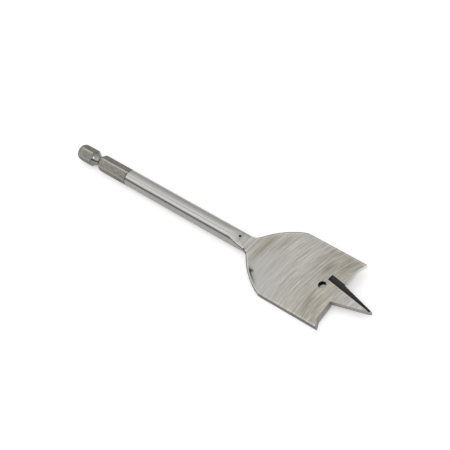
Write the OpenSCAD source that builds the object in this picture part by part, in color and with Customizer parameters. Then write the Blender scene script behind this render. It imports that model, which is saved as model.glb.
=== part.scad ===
// Spade bit for boring wood: hex drive shank, round shaft and a flat blade with a centre point.
// The bit lies along X with its shank end at the origin, rolled until one blade edge meets the floor.

/* [Shank] */
// Overall length, from the shank end to the end of the centre point
bit_length = 152; // [140:1:400]
// Diameter of the round shaft
shaft_d = 7; // [6.8:0.1:7.2]
// Width across the flats of the hex drive
hex_flats = 6.35; // [6.2:0.05:6.5]
// Length of the hex drive, from the shank end
hex_length = 28.8; // [22:0.2:40]
// Radius of the rounding at the shank end
nose_r = 2.4; // [0.8:0.1:2.8]
// Distance from the shank end to the middle of the detent groove
detent_x = 10.9; // [9:0.1:13]
// Diameter left at the bottom of the detent groove
detent_d = 4.4; // [4:0.1:5]
// Radius of the detent groove's hollow
detent_r = 3.1; // [2.4:0.1:4]

/* [Blade] */
// Diameter of the hole the blade bores
blade_w = 32; // [26:1:40]
// Thickness of the blade
blade_t = 2.4; // [2:0.1:3]
// Length of a straight blade side, up to the spur tip
side_length = 28.2; // [24:0.2:40]
// Radius of the curved shoulders
shoulder_r = 33; // [30:1:40]
// Angle at which a shoulder runs into the blade side
shoulder_angle = 21; // [15:1:28]
// Radius of the hollow where the shaft widens into a shoulder
neck_r = 5; // [3:0.5:8]
// Radius of the crown where the round shaft starts down to the flat face
crown_r = 20; // [16:1:26]
// Radius of the hollow that runs from the crown out to the flat face
ramp_r = 20; // [16:1:30]
// Distance from the start of the neck hollow to the start of the flat face
ramp_lead = 3.2; // [2:0.2:6]
// Width of the bevel along the rims of the shoulders
rim_bevel = 0.5; // [0.3:0.05:1]
// Width of the bevel along the trailing edges of the blade sides
side_bevel = 0.4; // [0.2:0.05:0.5]
// Depth of the bevels as a share of their width
bevel_slope = 0.4; // [0.3:0.05:1]

/* [Cutting end] */
// Length of the centre point ahead of the lips
point_length = 15.4; // [12:0.2:18]
// Width of the centre point where it leaves the lips
point_w = 8.8; // [8:0.2:11]
// Width of the blunt end of the centre point
tip_w = 0.8; // [0.6:0.1:1.6]
// Thickness left at the blunt end of the centre point
tip_t = 0.8; // [0.5:0.1:1.2]
// Length of the bevels that thin the end of the centre point
tip_grind = 2.4; // [1.6:0.1:3.2]
// How far a lip rises from the centre point to its spur
lip_rise = 0.3; // [0:0.1:1]
// Height of a spur over the end of its lip
spur_h = 1.45; // [0.8:0.05:3]
// Width of a spur across the blade
spur_w = 3.3; // [2.4:0.1:4.5]
// Relief angle ground behind the lips and spurs
lip_relief = 11; // [6:1:16]
// Relief angle ground behind the edges of the centre point
point_relief = 3; // [2:1:12]

/* [Channel and holes] */
// Width of the channel along each leading edge of the centre point
channel_w = 2.6; // [1.8:0.1:2.8]
// Depth of the channel
channel_depth = 0.5; // [0.3:0.05:0.7]
// Angle of the channel to the bit's axis
channel_angle = 9; // [6:0.5:11]
// Length of the channel behind the lips
channel_back = 6.8; // [4:0.2:9]
// Diameter of the hanging hole
hole_d = 3.2; // [2:0.1:4]
// Distance from the lips back to the hanging hole
hole_back = 7.4; // [6:0.2:12]
// Diameter of the hardness test mark
mark_d = 0.9; // [0.4:0.1:1]
// Distance of the test mark from the neck hollow, towards the shank
mark_back = 3.2; // [2:0.2:5]
// Distance of the test mark from the bit's axis
mark_side = 0.4; // [0:0.1:1]

/* [Hidden] */
$fn = 96;
steel = [0.66, 0.65, 0.62];
clear = 1;
// The seam of the turned surfaces lies over a hex flat
seam_turn = 30;

shaft_r = shaft_d / 2;
half_w = blade_w / 2;
half_t = blade_t / 2;

// Stations along the bit, counted back from the centre point
lip_x = bit_length - point_length;
spur_x = lip_x + lip_rise + spur_h;
corner_x = spur_x - side_length;

// Centre of the shoulder arc that meets the side at the corner
arc_x = corner_x + shoulder_r * sin(shoulder_angle);
arc_y = half_w - shoulder_r * cos(shoulder_angle);

// Centre of the neck hollow, touching both the shaft and the shoulder arc
neck_y = shaft_r + neck_r;
neck_x = arc_x - sqrt(pow(shoulder_r + neck_r, 2) - pow(neck_y - arc_y, 2));
neck_share = shoulder_r / (shoulder_r + neck_r);
join_x = arc_x + (neck_x - arc_x) * neck_share;
join_y = arc_y + (neck_y - arc_y) * neck_share;
join_angle = atan2(neck_y - arc_y, neck_x - arc_x);

// The bevel's arc is the shoulder arc, shifted to reach full width at the corner
rim_start = 95;
rim_shift = rim_bevel / sin(join_angle - 90 - shoulder_angle);
rim_x = arc_x - rim_shift * sin(join_angle);
rim_y = arc_y + rim_shift * cos(join_angle);

// The ramp hollow runs out on the flat face at a slight angle
ramp_tilt = 2;
flat_x = neck_x + ramp_lead;
ramp_x = flat_x + ramp_r * sin(ramp_tilt);
ramp_z = half_t + ramp_r * cos(ramp_tilt);

// The crown leaves the shaft at a slight angle and laps a little into the hollow
crown_tilt = 3;
crown_lap = 0.014;
crown_z = shaft_r - crown_r * cos(crown_tilt);
crown_x = ramp_x - sqrt(pow(crown_r + ramp_r - crown_lap, 2) - pow(ramp_z - crown_z, 2));
crown_share = crown_r / (crown_r + ramp_r);
turn_x = crown_x + (ramp_x - crown_x) * crown_share;
turn_z = crown_z + (ramp_z - crown_z) * crown_share;

// Hardness test mark on the ramp
mark_x = neck_x - mark_back;
mark_on_crown = crown_z + sqrt(pow(crown_r, 2) - pow(mark_x - crown_x, 2));
mark_on_ramp = ramp_z - sqrt(pow(ramp_r, 2) - pow(mark_x - ramp_x, 2));
mark_z = mark_x < turn_x ? mark_on_crown : mark_on_ramp;

// Roll at which the lower blade edge and the shaft both touch the floor
rest_roll = asin(shaft_r / half_w) - asin(half_t / half_w);

// The channel's outer wall passes this far outside the root of the centre point
channel_over = 0.15;

// Fall of the bevels at the end of the centre point
tip_slope = (half_t - tip_t / 2) / tip_grind;

// Outline of the notch between the centre point and a spur, before it leans
flank = (point_w - tip_w) / 2 / point_length;
spur_slope = spur_h / spur_w;
notch_far = point_length + 5;
notch_out = half_w + 2;
notch = [
    [0, point_w / 2],
    [lip_rise, half_w - spur_w],
    [lip_rise + spur_h + 2 * spur_slope, notch_out],
    [notch_far, notch_out],
    [notch_far, point_w / 2 - flank * notch_far]
];

// Point of the notch outline on the leaning cutter that meets the top face there
function lean(p) = [
    p[0] * cos(lip_relief),
    (p[1] - p[0] * sin(lip_relief) * tan(point_relief)) * cos(point_relief)
];

// Half section of shaft, neck, shoulder and blade, radius along X and length along Y
module half_section() {
    translate([0, nose_r])
        square([shaft_r, join_x - nose_r]);
    square([shaft_r - nose_r, 2 * nose_r]);
    intersection() {
        translate([shaft_r - nose_r, nose_r])
            circle(r = nose_r);
        square([shaft_r, nose_r]);
    }
    difference() {
        translate([0, neck_x])
            square([join_y, join_x - neck_x + clear]);
        translate([neck_y, neck_x])
            circle(r = neck_r);
    }
    intersection() {
        translate([arc_y, arc_x])
            circle(r = shoulder_r);
        translate([0, neck_x])
            square([half_w, arc_x - neck_x]);
    }
    translate([0, corner_x])
        square([half_w, bit_length - corner_x]);
}

// Round blank, widened to the bored diameter over the blade
module blank() {
    rotate([0, 90, 0])
        rotate([0, 0, seam_turn])
            rotate_extrude()
                half_section();
}

// Everything outside the hex flats along the drive
module hex_cut() {
    rotate([0, 90, 0])
        difference() {
            translate([0, 0, -clear])
                cylinder(r = shaft_r + clear, h = hex_length + clear);
            translate([0, 0, -2 * clear])
                cylinder(d = hex_flats / cos(30), h = hex_length + 4 * clear, $fn = 6);
        }
}

// Hollow ring that a quick-change chuck's ball locks into
module detent_cut() {
    translate([detent_x, 0, 0])
        rotate([0, 90, 0])
            rotate([0, 0, seam_turn])
                rotate_extrude()
                    translate([detent_d / 2 + detent_r, 0])
                        circle(r = detent_r);
}

// Stock over the top face: hollow ramp up to the shaft, then the flat
module face_cut() {
    intersection() {
        translate([ramp_x, -blade_w, ramp_z])
            rotate([-90, 0, 0])
                cylinder(r = ramp_r, h = 2 * blade_w);
        translate([flat_x - ramp_r, -blade_w, half_t])
            cube([ramp_r + clear, 2 * blade_w, ramp_r / 2]);
    }
    translate([flat_x, -blade_w, half_t])
        cube([bit_length, 2 * blade_w, blade_w]);
}

// Stock over the crown between the shaft and the ramp
module crown_cut() {
    difference() {
        translate([crown_x, -blade_w, turn_z - clear])
            cube([turn_x - crown_x, 2 * blade_w, blade_w]);
        translate([crown_x, -blade_w - clear, crown_z])
            rotate([-90, 0, 0])
                cylinder(r = crown_r, h = 2 * blade_w + 2 * clear);
    }
}

// Bevel along the rim of one shoulder on the top face, fading out towards the neck
module rim_cut() {
    translate([rim_x, rim_y, half_t])
        rotate([0, 0, rim_start])
            rotate_extrude(angle = join_angle - 2.5 - rim_start)
                polygon([
                    [shoulder_r - clear, bevel_slope * clear],
                    [shoulder_r + clear, -bevel_slope * clear],
                    [shoulder_r + clear, bevel_slope * clear]
                ]);
}

// Bevel along the trailing edge of the far side on the top face
module side_cut() {
    translate([corner_x - clear, -half_w, half_t])
        rotate([90, 0, 90])
            linear_extrude(height = side_length + 2 * clear)
                polygon([
                    [-clear, -bevel_slope * (side_bevel + clear)],
                    [side_bevel + clear, bevel_slope * clear],
                    [-clear, bevel_slope * clear]
                ]);
}

// Notch in front of one lip, leaning back under its cutting edges
module notch_cut() {
    translate([lip_x, 0, half_t])
        rotate([-point_relief, lip_relief, 0])
            translate([0, 0, -3 * blade_t])
                linear_extrude(height = 6 * blade_t)
                    polygon([for (p = notch) lean(p)]);
}

// Bevel that thins the end of the centre point on the top face
module tip_cut() {
    translate([bit_length, point_w / 2, half_t])
        rotate([90, 0, 0])
            linear_extrude(height = point_w)
                polygon([
                    [-tip_grind - clear, tip_slope * clear],
                    [clear, -tip_slope * (tip_grind + clear)],
                    [clear, tip_slope * clear]
                ]);
}

// Channel pressed along one leading edge of the centre point, running out on its end bevel
module channel_cut() {
    translate([lip_x, point_w / 2 + channel_over, half_t - channel_depth])
        rotate([0, 0, -channel_angle])
            translate([-channel_back, -channel_w, 0])
                cube([channel_back + point_length + clear, channel_w, channel_depth + clear]);
}

// Cuts that repeat, turned half way round, on the other side of the bit
module paired_cuts() {
    face_cut();
    crown_cut();
    rim_cut();
    mirror([0, 1, 0])
        rim_cut();
    side_cut();
    notch_cut();
    tip_cut();
    channel_cut();
}

module spade_bit() {
    color(steel)
        rotate([rest_roll, 0, 0])
            difference() {
                blank();
                hex_cut();
                detent_cut();
                paired_cuts();
                rotate([180, 0, 0])
                    paired_cuts();
                translate([lip_x - hole_back, 0, -blade_t])
                    cylinder(d = hole_d, h = 2 * blade_t);
                translate([mark_x, mark_side, mark_z - mark_d / 2])
                    cylinder(d1 = 0, d2 = 2 * mark_d, h = mark_d);
            }
}

spade_bit();
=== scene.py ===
import bpy
import math
from types import SimpleNamespace
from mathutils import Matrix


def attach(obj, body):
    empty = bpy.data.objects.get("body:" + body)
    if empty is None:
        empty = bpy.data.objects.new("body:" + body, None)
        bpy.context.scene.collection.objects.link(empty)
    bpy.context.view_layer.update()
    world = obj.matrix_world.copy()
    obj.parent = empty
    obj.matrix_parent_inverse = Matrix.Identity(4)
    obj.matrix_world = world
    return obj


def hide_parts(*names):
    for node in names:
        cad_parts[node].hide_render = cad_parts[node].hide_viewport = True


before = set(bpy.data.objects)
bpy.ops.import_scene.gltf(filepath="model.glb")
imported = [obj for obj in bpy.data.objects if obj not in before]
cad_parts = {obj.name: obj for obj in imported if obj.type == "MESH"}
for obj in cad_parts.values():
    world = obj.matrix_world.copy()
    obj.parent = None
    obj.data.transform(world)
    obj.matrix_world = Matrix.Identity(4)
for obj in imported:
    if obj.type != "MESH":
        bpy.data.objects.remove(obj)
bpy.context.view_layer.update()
print("frame loaded:", sorted(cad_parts))

# the blade is turned about the shaft by this, so that its edge and the shaft share the floor
restRoll = math.radians(8.334)


# a wrapped socket takes plain Python maths
class Wire:
    def __init__(self, sheet, socket):
        self.sheet = sheet
        self.socket = socket

    def maths(self, operation, *values):
        return self.sheet.put("ShaderNodeMath", {"operation": operation}, dict(enumerate(values)))

    def __add__(self, other): return self.maths("ADD", self, other)
    def __radd__(self, other): return self.maths("ADD", other, self)
    def __sub__(self, other): return self.maths("SUBTRACT", self, other)
    def __rsub__(self, other): return self.maths("SUBTRACT", other, self)
    def __mul__(self, other): return self.maths("MULTIPLY", self, other)
    def __rmul__(self, other): return self.maths("MULTIPLY", other, self)
    def __truediv__(self, other): return self.maths("DIVIDE", self, other)
    def __rtruediv__(self, other): return self.maths("DIVIDE", other, self)
    def __abs__(self): return self.maths("ABSOLUTE", self)
    def root(self): return self.maths("SQRT", self)
    def sign(self): return self.maths("SIGN", self)
    def least(self, other): return self.maths("MINIMUM", self, other)
    def most(self, other): return self.maths("MAXIMUM", self, other)
    def output(self, name): return Wire(self.sheet, self.socket.node.outputs[name])


class Sheet:
    def __init__(self, tree):
        self.tree = tree
        tree.nodes.clear()

    # any node: its type, its settings (set first), then values or links for its sockets
    def put(self, kind, settings=None, inputs=None, out=0):
        made = self.tree.nodes.new(kind)
        for name, value in (settings or {}).items():
            if name == "stops":
                self.fillRamp(made.color_ramp, value)
            else:
                setattr(made, name, value)
        for name, value in (inputs or {}).items():
            if isinstance(value, Wire):
                self.tree.links.new(value.socket, made.inputs[name])
            else:
                made.inputs[name].default_value = value
        return Wire(self, made.outputs[out]) if len(made.outputs) else made

    def fillRamp(self, ramp, stops):
        while len(ramp.elements) > 1:
            ramp.elements.remove(ramp.elements[-1])
        ramp.elements[0].position = stops[0][0]
        ramp.elements[0].color = stops[0][1]
        for place, colour in stops[1:]:
            ramp.elements.new(place).color = colour

    def rise(self, value, low, high):  # 0 at low, 1 at high, soft between; low may be the larger
        if low > high:
            return 1 - self.rise(value, high, low)
        return self.put("ShaderNodeMapRange", {"interpolation_type": "SMOOTHSTEP"},
                        {"Value": value, "From Min": low, "From Max": high})

    def band(self, value, edges):  # 0 outside the outer two edges, 1 between the inner two
        low, lowFull, highFull, high = edges
        return self.rise(value, low, lowFull) * self.rise(value, high, highFull)

    def reach(self, *steps):  # straight length of some steps at right angles
        total = steps[0] * steps[0]
        for step in steps[1:]:
            total = total + step * step
        return total.root()

    def over(self, below, above, share):  # one number laid over another
        return below * (1 - share) + above * share

    def split(self, vector):
        x = self.put("ShaderNodeSeparateXYZ", None, {0: vector})
        return x, x.output(1), x.output(2)

    def vector(self, x, y, z):
        return self.put("ShaderNodeCombineXYZ", None, {0: x, 1: y, 2: z})

    def noise(self, place, scale, detail, rough):
        return self.put("ShaderNodeTexNoise", {"noise_dimensions": "3D"},
                        {"Vector": place, "Scale": scale, "Detail": detail, "Roughness": rough})

    def blend(self, amount, first, second):
        return self.put("ShaderNodeMix", {"data_type": "RGBA"}, {0: amount, 6: first, 7: second}, out=2)

    def shade(self, colour, amount):  # colour made lighter or darker by a number
        if not isinstance(colour, Wire):
            colour = colour[:3]
        return self.put("ShaderNodeVectorMath", {"operation": "SCALE"}, {0: colour, "Scale": amount})


# the bit's measures, mm in the blade's own frame: shank end at x 0, blade flat, leading side +y
bitSize = {
    "shaft": 3.5,                            # radius
    "hexEnd": 28.8,
    "grooveX": 10.9,
    "rampStart": 86.0,
    "neck": (91.96, 8.5, 5.0),               # hollow arc: x, y and radius
    "neckEnd": 95.9,
    "shoulder": (121.98, -14.81, 33.0),      # arc: x, y and radius
    "corner": 110.15,                        # from here on the sides are straight
    "halfWidth": 16.0,
    "lip": 136.6,
    "pointRoot": 4.55,
    "channel": (6.8, 15.0, 2.6),             # reach behind and before the lip, and width
    "channelAngle": 9.0,
    "hole": (129.2, 1.6),                    # x and radius
    "testMark": (88.76, 0.4, 0.46),          # hardness mark: x, y and radius
}


# place in mm and normal, both in the blade's own frame
def bladePlace(s):
    def unroll(vector):
        return s.put("ShaderNodeVectorRotate", {"rotation_type": "X_AXIS"}, {0: vector, "Angle": -restRoll})

    at = SimpleNamespace()
    metres = unroll(s.put("ShaderNodeTexCoord", out="Object"))
    at.spot = s.put("ShaderNodeVectorMath", {"operation": "SCALE"}, {0: metres, "Scale": 1000.0})
    at.x, at.y, at.z = s.split(at.spot)
    at.nx, at.ny, at.nz = s.split(unroll(s.put("ShaderNodeNewGeometry", out="True Normal")))
    at.half = at.z.sign()                    # the bit is the same when turned half round its axis
    at.ys = at.y * at.half
    at.yw = abs(at.y)
    at.zs = abs(at.z)
    at.up = abs(at.nz)
    return at


# soft edges of the zones, none first and then full; those of a measure are steps from it
zoneEdges = {
    "hexEnd": (0.12, -0.02),
    "shaft": (-0.10, -0.04, 0.03, 0.08),
    "roundNormal": (0.988, 0.996),
    "turnedShare": 0.75,                     # what the hex corners keep of the turned surface
    "grooveRadius": (3.12, 3.00), "grooveReach": (3.0, 2.6),
    "bladeStart": (0.0, 7.0), "faceTilt": (0.80, 0.90),
    "edgeStart": (6.5, 9.5), "edgeTilt": (0.86, 0.78),
    "neckEnd": (-0.3, 0.3),
    "forgedStart": (0.0, 3.0), "forgedEnd": (0.4, -0.6),
    "straightStart": (-0.55, 0.25),
    "trailingSide": (-6.0, -8.0), "trailingStart": (99.0, 101.5),
    "channelOut": 0.05, "channelIn": 0.02, "channelLead": (0.02, 0.08),
    "channelDepth": (0.64, 0.68, 1.10, 1.17),
    "burrSide": (0.30, 0.10), "burrBack": 0.3, "burrFront": (0.8, 0.5),
    "hole": (0.12, 0.03), "holeTilt": (0.6, 0.3),
    "testMark": (1.25, 0.95), "markHeight": (0.5, 1.0),
    "lipStart": (-2.0, -1.2), "lipEnd": (3.4, 2.9), "lipNormal": (0.55, 0.75), "lipReflectionSide": (3.6, 4.4),
    "groundSide": (0.1, 0.4),
}


def bitZones(s, at, size, edges):
    def past(value, measure, edge):
        return s.rise(value, size[measure] + edges[edge][0], size[measure] + edges[edge][1])

    zone = SimpleNamespace()

    # hex, groove, ground faces and edges
    zone.hexEnd = size["hexEnd"]
    onHex = past(at.x, "hexEnd", "hexEnd")
    outward = s.reach(at.y, at.z)
    roundNormal = (at.y * at.ny + at.z * at.nz) / outward.most(0.1)
    onRound = s.band(outward, [size["shaft"] + step for step in edges["shaft"]])
    onRound = onRound * s.rise(roundNormal, *edges["roundNormal"])
    zone.milled = onHex * (1 - onRound * edges["turnedShare"])
    zone.groove = onHex * s.rise(outward, *edges["grooveRadius"])
    zone.groove = zone.groove * s.rise(abs(at.x - size["grooveX"]), *edges["grooveReach"])
    onBlade = past(at.x, "rampStart", "bladeStart") * (1 - onRound)
    zone.face = s.rise(at.up, *edges["faceTilt"]) * onBlade
    zone.edge = past(at.x, "rampStart", "edgeStart") * s.rise(at.up, *edges["edgeTilt"])

    # distance in from the blade's outline: neck hollow, then shoulder, and the straight sides
    sx, sy, sr = size["shoulder"]
    kx, ky, kr = size["neck"]
    fromShoulder = sr - s.reach(at.x - sx, at.yw - sy)
    fromNeck = s.reach(at.x - kx, at.yw - ky) - kr
    zone.inset = s.over(fromNeck, fromShoulder, past(at.x, "neckEnd", "neckEnd"))
    zone.inside = size["halfWidth"] - at.yw
    zone.forged = past(at.x, "rampStart", "forgedStart") * past(at.x, "corner", "forgedEnd")
    zone.straight = past(at.x, "corner", "straightStart")
    zone.trailing = s.rise(at.ys, *edges["trailingSide"]) * s.rise(at.x, *edges["trailingStart"])

    # lips and flanks; the leading lip's ground relief gets a painted reflection of the lit floor
    pastLip = past(at.x, "lip", "lipStart")
    zone.ground = pastLip * s.rise(zone.inside, *edges["groundSide"])
    zone.freshLip = zone.edge * pastLip * past(at.x, "lip", "lipEnd") * s.rise(at.nx, *edges["lipNormal"])
    zone.freshLip = zone.freshLip * s.rise(at.y, *edges["lipReflectionSide"])

    # channel in its own frame, with a painted highlight along its edges
    angle = math.radians(size["channelAngle"])
    back, front, width = size["channel"]
    cx = at.x - size["lip"]
    cy = at.ys - size["pointRoot"]
    along = cx * math.cos(angle) - cy * math.sin(angle)
    across = cx * math.sin(angle) + cy * math.cos(angle)
    outer, inner = edges["channelOut"], edges["channelIn"]
    inChannel = s.band(along, (-back - outer, -back + inner, front - inner, front + outer))
    inChannel = inChannel * s.band(across, (-width - outer, -width + inner) + edges["channelLead"])
    inChannel = inChannel * s.band(at.zs, edges["channelDepth"])
    zone.lead = s.rise(across, -width, 0.0)
    wide, close = edges["burrSide"]
    zone.burr = s.band(across, (-width - wide, -width - close, close, wide))
    full, none = [front - step for step in edges["burrFront"]]
    zone.burr = zone.burr * s.band(along, (-back - edges["burrBack"], -back, full, none))

    # painted shade on the hanging hole's wall and in the test mark
    holeX, holeRadius = size["hole"]
    fromHole = s.reach(at.x - holeX, at.y) - holeRadius
    holeShade = s.rise(fromHole, *edges["hole"]) * s.rise(at.up, *edges["holeTilt"])
    markX, markY, markRadius = size["testMark"]
    fromMark = s.reach(at.x - markX, at.y - markY) / markRadius
    markShade = s.rise(fromMark, *edges["testMark"]) * s.rise(at.z, *edges["markHeight"])
    zone.dark = inChannel.most(holeShade).most(markShade)
    return zone


noiseLook = {
    # all over: scale, detail and roughness
    "plain": {
        "wander": (0.07, 1.0, 0.5),
        "patch": (0.16, 2.0, 0.5),
        "mottle": (0.55, 3.0, 0.6),
        "pits": (1.1, 2.0, 0.6),
        "grain": (2.4, 3.0, 0.65),
    },
    # on the shaft: scale along it and across it, detail and roughness
    "shaft": {
        "ring": (3.0, 0.25, 3.0, 0.6),
        "draw": (0.030, 2.6, 3.0, 0.6),
    },
    # along the grinding arcs: scale across them and along them, seed, detail and roughness
    "arcs": {
        "broad": (0.22, 0.035, 0.0, 2.0, 0.5),
        "lines": (1.35, 0.045, 9.0, 3.0, 0.6),
        "thin": (2.9, 0.085, 21.0, 3.0, 0.6),
        "hair": (8.0, 0.25, 33.0, 2.0, 0.6),
        "stripe": (2.6, 0.040, 51.0, 2.0, 0.5),
    },
    "wheel": (185.0, -10.0),                 # centre of the grinding arcs, x and y in mm
    "sweep": 70.0,                           # mm along an arc for a slope of 1
    "arcWander": 0.3,
    "otherFace": 40.0,                       # keeps the two faces from having the same lines
}


def steelNoise(s, at, look):
    noise = SimpleNamespace()
    for name, (scale, detail, rough) in look["plain"].items():
        setattr(noise, name, s.noise(at.spot, scale, detail, rough))
    for name, (along, across, detail, rough) in look["shaft"].items():
        place = s.vector(at.x * along, at.y * across, at.z * across)
        setattr(noise, name, s.noise(place, 1.0, detail, rough))
    wheelX, wheelY = look["wheel"]
    away = wheelX - at.x
    rest = at.ys - wheelY
    noise.arc = s.reach(away, rest) + (noise.wander - 0.5) * look["arcWander"]
    noise.sweep = rest / away * look["sweep"]
    for name, (across, along, seed, detail, rough) in look["arcs"].items():
        place = s.vector(noise.arc * across, noise.sweep * along, at.half * look["otherFace"] + seed)
        setattr(noise, name, s.noise(place, 1.0, detail, rough))
    return noise


# heat left by the wheel in bands along the arcs, broken into streaks
heatLook = {
    # x, y, half width, half length and strength
    "bands": [
        (99.2, 1.5, 2.6, 8.5, 0.75), (104.3, 6.8, 2.0, 7.5, 0.95), (132.4, 10.5, 3.4, 9.0, 0.85),
        (129.6, -9.0, 2.2, 10.0, 0.85), (122.8, 9.5, 2.4, 10.0, 0.70), (127.0, 8.5, 2.2, 9.0, 0.75),
        (133.2, -9.0, 1.6, 8.0, 0.45), (109.5, 5.0, 1.2, 10.0, 0.30), (117.0, -11.0, 1.2, 7.0, 0.30),
    ],
    "coreWidth": 0.2, "coreLength": 0.1,     # share of a band that is at full strength
    "streakEdge": (0.42, 0.60), "betweenStreaks": 0.15,
}


def heatTint(s, noise, look):
    wheelX, wheelY = noiseLook["wheel"]
    heat = 0.0
    for px, py, halfWidth, halfLength, strength in look["bands"]:
        away = wheelX - px
        rest = py - wheelY
        fromArc = abs(noise.arc - math.hypot(away, rest))
        fromSweep = abs(noise.sweep - rest / away * noiseLook["sweep"])
        spread = s.rise(fromArc, halfWidth, halfWidth * look["coreWidth"])
        spread = spread * s.rise(fromSweep, halfLength, halfLength * look["coreLength"])
        heat = spread * strength + heat
    streaks = s.rise(noise.stripe, *look["streakEdge"])
    return (heat * (look["betweenStreaks"] + streaks * (1 - look["betweenStreaks"]))).least(1.0)


# rubbed-in dirt on the forged rim, and painted shade under the trailing neck; mm, and pairs for mottling: least
# share and what the mottle adds
dirtAndShadeLook = {
    # dark colour of the dirt, also used for the painted shade under the neck and the darker band at the hex end
    "colour": (0.060, 0.058, 0.052, 1),
    # smudges by the trailing shoulder: x, y, half width, half length and strength
    "smudges": [(101.7, -9.3, 0.8, 1.2, 1.00), (102.5, -9.0, 0.6, 1.4, 0.45)],
    "smudgeTurn": -40.0, "smudgeCore": 0.1,
    # line inside the trailing rim: inset, half width, share of it at full strength, strength and ends
    "tail": (1.15, 0.60, 0.2, 0.62), "tailEnd": (109.5, 102.0),
    # faint darker band inward from that line
    "innerDarkInset": 3.4, "innerDarkEnd": (109.5, 103.0), "innerDarkShare": 0.24,
    "smudgeMottle": (0.45, 1.1),
    "rim": (0.55, 0.22), "trailingRim": (0.30, 0.14), "rimMottle": (0.50, 0.8),
    # painted shade spots in the hollow under the trailing neck: x, y, z and radius
    "neckShadeSpots": [(93.1, -3.1, 1.05, 0.7), (94.5, -3.95, 1.10, 0.6)],
    "shadeStretch": 0.7071, "shadeCore": 0.4, "shadeMottle": (0.45, 0.9),
}


def rimDirt(s, at, zone, noise, look):
    turn = math.radians(look["smudgeTurn"])
    dirt = 0.0
    for px, py, halfWidth, halfLength, strength in look["smudges"]:
        run = (at.x - px) * math.cos(turn) + (at.ys - py) * math.sin(turn)
        step = (at.ys - py) * math.cos(turn) - (at.x - px) * math.sin(turn)
        spread = s.rise(abs(run), halfLength, 0.0) * s.rise(abs(step), halfWidth, look["smudgeCore"])
        dirt = spread * strength + dirt
    inset, half, core, strength = look["tail"]
    tail = s.rise(abs(zone.inset - inset), half, half * core) * s.rise(at.x, *look["tailEnd"]) * strength
    innerDark = s.band(zone.inset, (inset - half, inset, inset, look["innerDarkInset"]))
    innerDark = innerDark * s.rise(at.x, *look["innerDarkEnd"]) * look["innerDarkShare"]
    least, gain = look["smudgeMottle"]
    dirt = (dirt + (tail + innerDark) * zone.trailing) * (least + noise.mottle * gain)
    rim = s.over(s.rise(zone.inset, *look["rim"]), s.rise(zone.inset, *look["trailingRim"]), zone.trailing)
    least, gain = look["rimMottle"]
    rim = rim * zone.forged * (least + noise.mottle * gain)
    return dirt.most(rim).least(1.0)


# painted shade spot in the hollow under the trailing neck, mottled
def paintedNeckShade(s, at, noise, shadeSpot, look):
    px, py, pz, radius = shadeSpot
    away = s.reach((at.x - px) * look["shadeStretch"], at.ys - py, at.zs - pz)
    least, gain = look["shadeMottle"]
    return (s.rise(away, radius, radius * look["shadeCore"]) * (least + noise.mottle * gain)).least(1.0)


# ground blade face; colours are linear, lengths in mm
faceLook = {
    "plain": (0.450, 0.434, 0.403, 1),
    "warm": (0.385, 0.361, 0.309, 1),        # towards the lips and the neck
    "cool": (0.430, 0.430, 0.420, 1),        # over the trailing shoulder
    "heat": (0.225, 0.203, 0.155, 1),        # olive
    "warmLips": (114, 132, 134, 142), "warmLipsShare": 0.75, "warmNeck": (94, 97, 97, 104),
    "warmStreaks": (0.4, 1.2),               # least share and what the streaks add
    "coolSide": (5, -9), "coolEnd": (119, 107), "coolShare": 0.7, "coolPatches": (0.3, 1.4),
    "tone": 0.98, "broad": 0.25, "lines": 0.85, "thin": 1.10, "hair": 0.80,
    "glint": (0.56, 0.66), "glintGain": 0.12,
    # the lines fade over the trailing shoulder and come back by the neck
    "worn": 0.45, "wornSlant": 0.6, "wornEnd": (99, 117), "wornNeck": (100, 95), "wornGain": 0.55,
    # painted highlight just inside the forged rim, weaker on the trailing side
    "rim": (0.95, 0.70), "rimHighlightGain": 0.30, "trailingLoss": 0.28,
    # painted highlight line inside the straight sides, stronger towards the lips, and the darker bevels
    "sideHighlight": (0.32, 0.42, 0.70, 0.90), "sideHighlightGain": 0.12, "sideHighlightFront": (116, 130), "sideHighlightFrontGain": 0.16,
    "bevel": (0.38, 0.22), "bevelLoss": 0.30,
    # painted shade towards the leading side's edge
    "leadShadeSide": (11.5, 15.0), "leadShadeStart": (106, 116), "leadShadeLoss": 0.11,
    "burrGain": 0.15,
}


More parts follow.
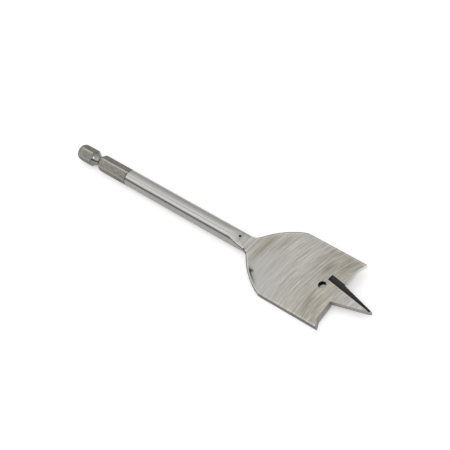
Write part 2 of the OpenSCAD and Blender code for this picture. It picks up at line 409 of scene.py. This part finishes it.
def faceColour(s, at, zone, noise, heat, look):
    warm = s.band(at.x, look["warmLips"]) * look["warmLipsShare"] + s.band(at.x, look["warmNeck"])
    least, gain = look["warmStreaks"]
    colour = s.blend((warm * (least + noise.broad * gain)).least(1.0), look["plain"], look["warm"])
    cool = s.rise(at.ys, *look["coolSide"]) * s.rise(at.x, *look["coolEnd"]) * look["coolShare"]
    least, gain = look["coolPatches"]
    colour = s.blend((cool * (least + noise.patch * gain)).least(1.0), colour, look["cool"])
    colour = s.blend(heat, colour, look["heat"])

    worn = s.rise(at.x + at.ys * look["wornSlant"], *look["wornEnd"]) + s.rise(at.x, *look["wornNeck"])
    worn = look["worn"] + worn * look["wornGain"]
    marks = s.rise(noise.thin, *look["glint"]) * look["glintGain"]
    for name in ("lines", "thin", "hair"):
        marks = (getattr(noise, name) - 0.5) * look[name] + marks
    tone = look["tone"] + (noise.broad - 0.5) * look["broad"] + marks * worn
    # painted highlight just inside the forged rim
    rimHighlightGain = look["rimHighlightGain"] - zone.trailing * look["trailingLoss"]
    tone = tone + s.rise(zone.inset, *look["rim"]) * zone.forged * rimHighlightGain
    # painted highlight line inside the straight sides
    sideHighlightGain = look["sideHighlightGain"] + s.rise(at.x, *look["sideHighlightFront"]) * look["sideHighlightFrontGain"]
    tone = tone + s.band(zone.inside, look["sideHighlight"]) * zone.straight * sideHighlightGain
    tone = tone - s.rise(zone.inside, *look["bevel"]) * zone.straight * look["bevelLoss"]
    # painted shade towards the leading side's edge
    lead = s.rise(at.ys, *look["leadShadeSide"]) * s.rise(at.x, *look["leadShadeStart"])
    tone = tone - lead * look["leadShadeLoss"]
    # painted highlight along the channel's edges
    tone = tone + zone.burr * look["burrGain"]
    return s.shade(colour, tone)


# satin round shaft and matte milled hex
shankLook = {
    "shaft": (0.430, 0.422, 0.405, 1),
    "tone": 0.78, "draw": 0.42, "ring": 0.10,
    # line along the shaft left by drawing: y, half width, height and depth
    "drawLine": 0.965, "drawWidth": (0.20, 0.06), "drawHeight": (2.4, 3.0), "drawLoss": 0.22,
    "hex": (0.250, 0.243, 0.212, 1),
    "grain": 1.2, "mottle": 0.7, "pits": 1.0,
    "grooveShine": 0.30,
    "step": (-0.85, -0.35), "stepMottle": (0.70, 0.6),     # darker band on the flats just before the end of the hex
}


def shankColour(s, at, zone, noise, look):
    line = s.rise(abs(at.ys + look["drawLine"]), *look["drawWidth"]) * s.rise(at.zs, *look["drawHeight"])
    tone = look["tone"] + noise.draw * look["draw"] + noise.ring * look["ring"] - line * look["drawLoss"]
    shaft = s.shade(look["shaft"], tone)
    tone = 1.0
    for name in ("grain", "mottle", "pits"):
        tone = (getattr(noise, name) - 0.5) * look[name] + tone
    drive = s.shade(look["hex"], tone)
    drive = s.blend(zone.groove * look["grooveShine"], drive, look["shaft"])
    colour = s.blend(zone.milled, shaft, drive)
    # darker band on the flats just before the end of the hex
    behind, close = [zone.hexEnd + step for step in look["step"]]
    least, gain = look["stepMottle"]
    dirt = s.rise(at.x, behind, close) * zone.milled * (least + noise.mottle * gain)
    return s.blend(dirt.least(1.0), colour, dirtAndShadeLook["colour"])


# sides, lips and flanks of the point
edgeLook = {
    "side": (0.300, 0.295, 0.278, 1),
    "tone": 0.72, "mottle": 0.36, "grain": 0.20,
    "forgedLoss": (0.10, 0.40), "trailingLoss": 0.4,
    "flank": (0.470, 0.462, 0.440, 1),       # ground lips and flanks
    "flankMottle": (0.35, 0.5),
    "lip": (0.950, 0.945, 0.935, 1),         # ground relief of the leading lip, near white from a painted reflection of the lit floor
    "lipTone": 0.90, "lipGrain": 0.20,
}


def edgeColour(s, zone, noise, look):
    least, gain = look["forgedLoss"]
    tone = look["tone"] + noise.mottle * look["mottle"] + noise.grain * look["grain"]
    tone = tone * (1 - zone.forged * (least + noise.mottle * gain)) * (1 - zone.trailing * look["trailingLoss"])
    colour = s.shade(look["side"], tone)
    least, gain = look["flankMottle"]
    colour = s.blend(zone.ground * (least + noise.mottle * gain), colour, look["flank"])
    lip = s.shade(look["lip"], look["lipTone"] + noise.grain * look["lipGrain"])
    # painted reflection on the leading lip's relief
    return s.blend(zone.freshLip, colour, lip)


steelLook = {
    # black scale in the channels, lighter towards the leading edge; the same near black is painted as shade on
    # the hanging hole's wall and in the test mark
    "scale": (0.020, 0.020, 0.019, 1),
    "scaleTone": -0.5, "scaleLead": 1.6, "scaleGrain": 0.6, "scalePits": 0.8, "scaleMetal": 0.4,
    # roughness, and what each kind of noise adds to it
    "shaftRough": 0.12, "drawRough": 0.08, "ringRough": 0.05,
    "hexRough": 0.40, "hexGrainRough": 0.16,
    "grooveRough": 0.15,
    "faceRough": 0.26, "linesRough": 0.14, "heatRough": 0.06,
    "edgeRough": 0.30, "mottleRough": 0.14, "lipReflectionLoss": 0.14,
    "scaleRough": 0.40, "scaleGrainRough": 0.45,
    # relief
    "linesHigh": 0.5, "thinHigh": 0.5, "hairHigh": 0.25,
    "ringHigh": 0.3, "drawHigh": 0.4, "hexHigh": 0.9,
    "reliefStrength": 0.35, "reliefDepth": 0.00003,
}


def steelMaterial(look):
    mat = bpy.data.materials.new("groundSteel")
    mat.use_nodes = True
    s = Sheet(mat.node_tree)
    at = bladePlace(s)
    zone = bitZones(s, at, bitSize, zoneEdges)
    noise = steelNoise(s, at, noiseLook)
    heat = heatTint(s, noise, heatLook)

    face = faceColour(s, at, zone, noise, heat, faceLook)
    face = s.blend(rimDirt(s, at, zone, noise, dirtAndShadeLook), face, dirtAndShadeLook["colour"])
    colour = s.blend(zone.face, shankColour(s, at, zone, noise, shankLook), face)
    colour = s.blend(zone.edge, colour, edgeColour(s, zone, noise, edgeLook))
    # painted shade in the hollow under the trailing neck
    for shadeSpot in dirtAndShadeLook["neckShadeSpots"]:
        colour = s.blend(paintedNeckShade(s, at, noise, shadeSpot, dirtAndShadeLook), colour, dirtAndShadeLook["colour"])
    scaleTone = zone.lead * look["scaleLead"] + noise.grain * look["scaleGrain"]
    scaleTone = scaleTone + noise.pits * look["scalePits"] + look["scaleTone"]
    # black scale in the channels, and painted shade on the hole's wall and in the test mark
    colour = s.blend(zone.dark, colour, s.shade(look["scale"], scaleTone))

    rough = look["shaftRough"] + noise.draw * look["drawRough"] + noise.ring * look["ringRough"]
    rough = s.over(rough, look["hexRough"] + noise.grain * look["hexGrainRough"], zone.milled)
    rough = s.over(rough, look["grooveRough"], zone.groove)
    faceRough = look["faceRough"] + noise.lines * look["linesRough"] + heat * look["heatRough"]
    rough = s.over(rough, faceRough, zone.face)
    edgeRough = look["edgeRough"] + noise.mottle * look["mottleRough"] - zone.freshLip * look["lipReflectionLoss"]
    rough = s.over(rough, edgeRough, zone.edge)
    rough = s.over(rough, look["scaleRough"] + noise.grain * look["scaleGrainRough"], zone.dark)
    metal = 1 - zone.dark * (1 - look["scaleMetal"])

    ground = noise.lines * look["linesHigh"] + noise.thin * look["thinHigh"] + noise.hair * look["hairHigh"]
    turned = noise.ring * look["ringHigh"] + noise.draw * look["drawHigh"]
    height = ground * zone.face + turned * (1 - zone.face) * (1 - zone.milled)
    height = height + noise.grain * look["hexHigh"] * zone.milled * (1 - zone.groove) + noise.grain * zone.dark
    bump = s.put("ShaderNodeBump", None, {"Strength": look["reliefStrength"],
                                          "Distance": look["reliefDepth"], "Height": height})

    shader = s.put("ShaderNodeBsdfPrincipled", None,
                   {"Base Color": colour, "Roughness": rough, "Metallic": metal, "Normal": bump})
    s.put("ShaderNodeOutputMaterial", None, {"Surface": shader})
    return mat


# forged edges of the flare, where ramps and crowns meet the shaft; mm in the blade's own frame
flareForm = {
    "start": 83.0, "end": 95.8,              # where the rounding begins and ends
    "fullFrom": 88.5, "fullTo": 91.0,        # between these it is full size
    "rounding": 1.1, "passes": 3,
    "slice": 0.4, "strip": 0.25,             # mesh spacing along and across the ramps
    "stripReach": 4.0,                       # strips go this far from the axis
    "rampNear": 0.25, "rampLevel": 0.8,      # how near a ramp and how level its own faces are
    "crown": (82.42, -16.47, 20.0),          # x, z and radius
    "ramp": (95.86, 21.19, 20.0),
    "turn": 89.14,                           # crown up to here, then the ramp
    "flatFrom": 95.16, "flatZ": 1.2,
    "skin": 0.12,                            # vertices deeper than this aren't on the surface
}


def flareTop(form, x):  # height of the face over the axis
    if x > form["flatFrom"]:
        return form["flatZ"]
    cx, cz, cr = form["crown"]
    rx, rz, rr = form["ramp"]
    if x > form["turn"]:
        return rz - math.sqrt(rr * rr - (x - rx) ** 2)
    return min(bitSize["shaft"], cz + math.sqrt(cr * cr - (x - cx) ** 2))


def flareSide(x):  # radius of the turned blank
    nx, ny, nr = bitSize["neck"]
    if x < nx:
        return bitSize["shaft"]
    return ny - math.sqrt(max(nr * nr - (x - nx) ** 2, 0.0))


def toBlade(co):  # from metres on the floor to mm in the blade's own frame
    c, s = math.cos(restRoll), math.sin(restRoll)
    return co.x * 1000, (co.y * c + co.z * s) * 1000, (co.z * c - co.y * s) * 1000


def roundFlare(mesh, form):
    c, s = math.cos(restRoll), math.sin(restRoll)
    markX, markY, markRadius = bitSize["testMark"]
    for vertex in mesh.vertices:
        x, y, z = toBlade(vertex.co)
        if not form["start"] < x < form["end"]:
            continue
        if z > 0 and math.hypot(x - markX, y - markY) < markRadius:
            continue  # the test mark stays as it is
        grow = (x - form["start"]) / (form["fullFrom"] - form["start"])
        fade = (form["end"] - x) / (form["end"] - form["fullTo"])
        size = form["rounding"] * min(1.0, grow, fade)
        face = 1.0 if z > 0 else -1.0
        for step in range(form["passes"]):  # the two surfaces melt into each other over the rounding
            outward = max(math.hypot(y, z), 0.1)
            overSide = outward - flareSide(x)
            overTop = abs(z) - flareTop(form, x)
            apart = max(-size, min(size, overSide - overTop))
            if step == 0 and max(overSide, overTop) < -form["skin"]:
                break
            over = max(overSide, overTop) + (size - abs(apart)) ** 2 / (4 * size)
            share = 0.5 + apart / (2 * size)
            gy = share * y / outward
            gz = share * z / outward + (1 - share) * face
            length = gy * gy + gz * gz
            y -= over * gy / length
            z -= over * gz / length
        vertex.co.y = (y * c - z * s) / 1000
        vertex.co.z = (y * s + z * c) / 1000


def sliceFlare(bit, form):
    slices = round((form["end"] - form["start"]) / form["slice"])
    for i in range(slices + 1):
        place = (form["start"] + i * form["slice"]) / 1000
        bpy.ops.mesh.select_all(action="SELECT")
        bpy.ops.mesh.bisect(plane_co=(place, 0, 0), plane_no=(1, 0, 0))
    strips = int(form["stripReach"] / form["strip"])
    across = (0, math.cos(restRoll), math.sin(restRoll))
    for i in range(-strips, strips + 1):
        off = (i + 0.5) * form["strip"] / 1000
        bpy.ops.mesh.select_all(action="DESELECT")
        bpy.ops.object.mode_set(mode="OBJECT")
        for face in bit.data.polygons:
            x, y, z = toBlade(face.center)
            face.select = (form["start"] < x < form["end"]
                           and abs(abs(z) - flareTop(form, x)) < form["rampNear"]
                           and abs(face.normal.z) > form["rampLevel"])
        bpy.ops.object.mode_set(mode="EDIT")
        bpy.ops.mesh.bisect(plane_co=tuple(off * a for a in across), plane_no=across)


# widths in metres, angles in degrees; cutting edges, from keenFrom on, keep a share of the edge break
bitForm = {
    "weld": 0.000002, "flatAngle": 0.3,
    "edgeBreak": 0.00012, "edgeSteps": 2, "sharpAngle": 24.0, "shadeAngle": 17.0,
    "keenFrom": 0.1335, "keenShare": 0.3,
}


def makeBit(form):
    bpy.ops.object.select_all(action="DESELECT")
    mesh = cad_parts["spade_bit"].data.copy()
    mesh.materials.clear()
    bit = bpy.data.objects.new("spadeBit", mesh)
    bpy.context.scene.collection.objects.link(bit)
    bpy.context.view_layer.objects.active = bit
    bit.select_set(True)

    # merge the copy, then slice and round the flare
    bpy.ops.mesh.customdata_custom_splitnormals_clear()
    bpy.ops.object.mode_set(mode="EDIT")
    bpy.ops.mesh.select_all(action="SELECT")
    bpy.ops.mesh.remove_doubles(threshold=form["weld"])
    bpy.ops.mesh.dissolve_limited(angle_limit=math.radians(form["flatAngle"]))
    bpy.ops.mesh.select_mode(type="FACE")
    sliceFlare(bit, flareForm)
    bpy.ops.object.mode_set(mode="OBJECT")
    roundFlare(mesh, flareForm)

    # break the sharp edges
    bpy.ops.object.mode_set(mode="EDIT")
    bpy.ops.mesh.select_mode(type="EDGE")
    bpy.ops.mesh.select_all(action="DESELECT")
    bpy.ops.mesh.edges_select_sharp(sharpness=math.radians(form["sharpAngle"]))
    bpy.ops.object.mode_set(mode="OBJECT")
    bpy.ops.object.shade_smooth_by_angle(angle=math.radians(form["shadeAngle"]))
    share = mesh.attributes.new("bevel_weight_edge", "FLOAT", "EDGE")
    for edge in mesh.edges:
        if edge.select:
            middle = sum(mesh.vertices[i].co.x for i in edge.vertices) / 2
            share.data[edge.index].value = form["keenShare"] if middle > form["keenFrom"] else 1.0
    soft = bit.modifiers.new("edgeBreak", "BEVEL")
    soft.width = form["edgeBreak"]
    soft.segments = form["edgeSteps"]
    soft.limit_method = "WEIGHT"
    bpy.ops.object.modifier_apply(modifier=soft.name)
    even = bit.modifiers.new("flatShading", "WEIGHTED_NORMAL")
    even.keep_sharp = True
    bpy.ops.object.modifier_apply(modifier=even.name)

    bit.data.materials.append(steelMaterial(steelLook))
    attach(bit, "root")
    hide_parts("spade_bit")
    print("bit made:", len(bit.data.polygons), "faces")


makeBit(bitForm)

# metres
studio = {
    "floorZ": -0.0035, "floorSize": 3.0, "floorX": 0.076,
    "floorTone": 0.80, "floorLift": 0.37, "mirrorShare": 0.15,
    # painted shadow: the floor stays darker under the blade; where, and its share of the lift there
    "shadowX": (0.098, 0.106, 0.130, 0.136), "shadowY": (0.014, 0.008), "shadowShare": 0.60,
}


def makeFloor(values):
    bpy.ops.object.select_all(action="DESELECT")
    bpy.ops.mesh.primitive_plane_add(size=values["floorSize"], location=(values["floorX"], 0, values["floorZ"]))
    floor = bpy.context.object
    floor.name = "studioFloor"
    mat = bpy.data.materials.new("whiteSweep")
    mat.use_nodes = True
    s = Sheet(mat.node_tree)
    cameraRay = s.put("ShaderNodeLightPath", out="Is Camera Ray")
    glossyRay = cameraRay.output("Is Glossy Ray")
    seen = cameraRay.most(glossyRay * values["mirrorShare"]).most(cameraRay.output("Is Transmission Ray"))
    cloth = s.put("ShaderNodeBsdfDiffuse", None, {"Color": (values["floorTone"],) * 3 + (1,)})
    x, y, z = s.split(s.put("ShaderNodeTexCoord", out="Object"))
    # painted shadow under the blade, in the floor's glow
    under = s.band(x + values["floorX"], values["shadowX"]) * s.rise(abs(y), *values["shadowY"])
    tint = s.blend(under, (1, 1, 1, 1), (values["shadowShare"],) * 3 + (1,))
    glow = s.put("ShaderNodeEmission", None, {"Color": tint, "Strength": seen * values["floorLift"]})
    both = s.put("ShaderNodeAddShader", None, {0: cloth, 1: glow})
    s.put("ShaderNodeOutputMaterial", None, {"Surface": both})
    floor.data.materials.append(mat)
    print("floor laid")


makeFloor(studio)

roomLook = {
    # brightness by angle across the shaft: -90 the near horizon, 0 overhead, 90 the far one
    "stops": [(-90, 0.55), (-84, 0.22), (-66, 0.20), (-59, 1.10), (-50, 1.42), (-38, 1.42), (-25, 1.34),
              (-18, 0.90), (-11, 1.34), (0, 1.30), (9, 1.18), (15, 1.02), (26, 0.96), (40, 0.84), (58, 0.70),
              (78, 0.60), (90, 0.62)],
    "strength": 1.6,
    # the room falls off towards the cutting end
    "endFrom": -0.30, "endTo": 0.40, "endFall": 0.35,
    # small soft lamp: angles across the shaft, reach along it and gain
    "lampAngles": (-56, -46, -28, -18), "lampReach": (0.20, 0.32, 0.46, 0.58), "lampGain": 3.6,
}


def makeRoom(values):
    world = bpy.data.worlds.new("softRoom")
    world.use_nodes = True
    s = Sheet(world.node_tree)
    x, y, z = s.split(s.put("ShaderNodeTexCoord", out="Generated"))
    lean = y.maths("ARCTAN2", y, z.most(0.001)) / math.pi + 0.5
    stops = [((a + 90) / 180, (v / values["strength"],) * 3 + (1,)) for a, v in values["stops"]]
    tone = s.put("ShaderNodeValToRGB", {"stops": stops}, {0: lean})
    tone = s.shade(tone, 1 - s.rise(x, values["endFrom"], values["endTo"]) * values["endFall"])
    lamp = s.band(lean, [(a + 90) / 180 for a in values["lampAngles"]]) * s.band(x, values["lampReach"])
    tone = s.shade(tone, 1 + lamp * values["lampGain"])
    shade = s.put("ShaderNodeBackground", None, {"Color": tone, "Strength": values["strength"]})
    white = s.put("ShaderNodeBackground", None, {"Color": (1, 1, 1, 1), "Strength": 1.0})
    cameraRay = s.put("ShaderNodeLightPath", out="Is Camera Ray")
    both = s.put("ShaderNodeMixShader", None, {0: cameraRay, 1: shade, 2: white})
    s.put("ShaderNodeOutputWorld", None, {"Surface": both})
    bpy.context.scene.world = world
    print("room set")


makeRoom(roomLook)

# place and clip distances in metres, turn in degrees, lens and film width in mm
shot = {
    "place": (0.35142, -0.23722, 0.39562), "turn": (42.0664, 7.2238, 40.7802),
    "lens": 109.2, "film": 36.0, "clip": (0.01, 20.0),
}


def makeCamera(values):
    lens = bpy.data.cameras.new("photoCamera")
    lens.lens = values["lens"]
    lens.sensor_width = values["film"]
    lens.clip_start, lens.clip_end = values["clip"]
    camera = bpy.data.objects.new("photoCamera", lens)
    camera.location = values["place"]
    camera.rotation_euler = [math.radians(a) for a in values["turn"]]
    bpy.context.scene.collection.objects.link(camera)
    bpy.context.scene.camera = camera
    print("camera set")


makeCamera(shot)
bpy.context.scene.view_settings.view_transform = "Standard"
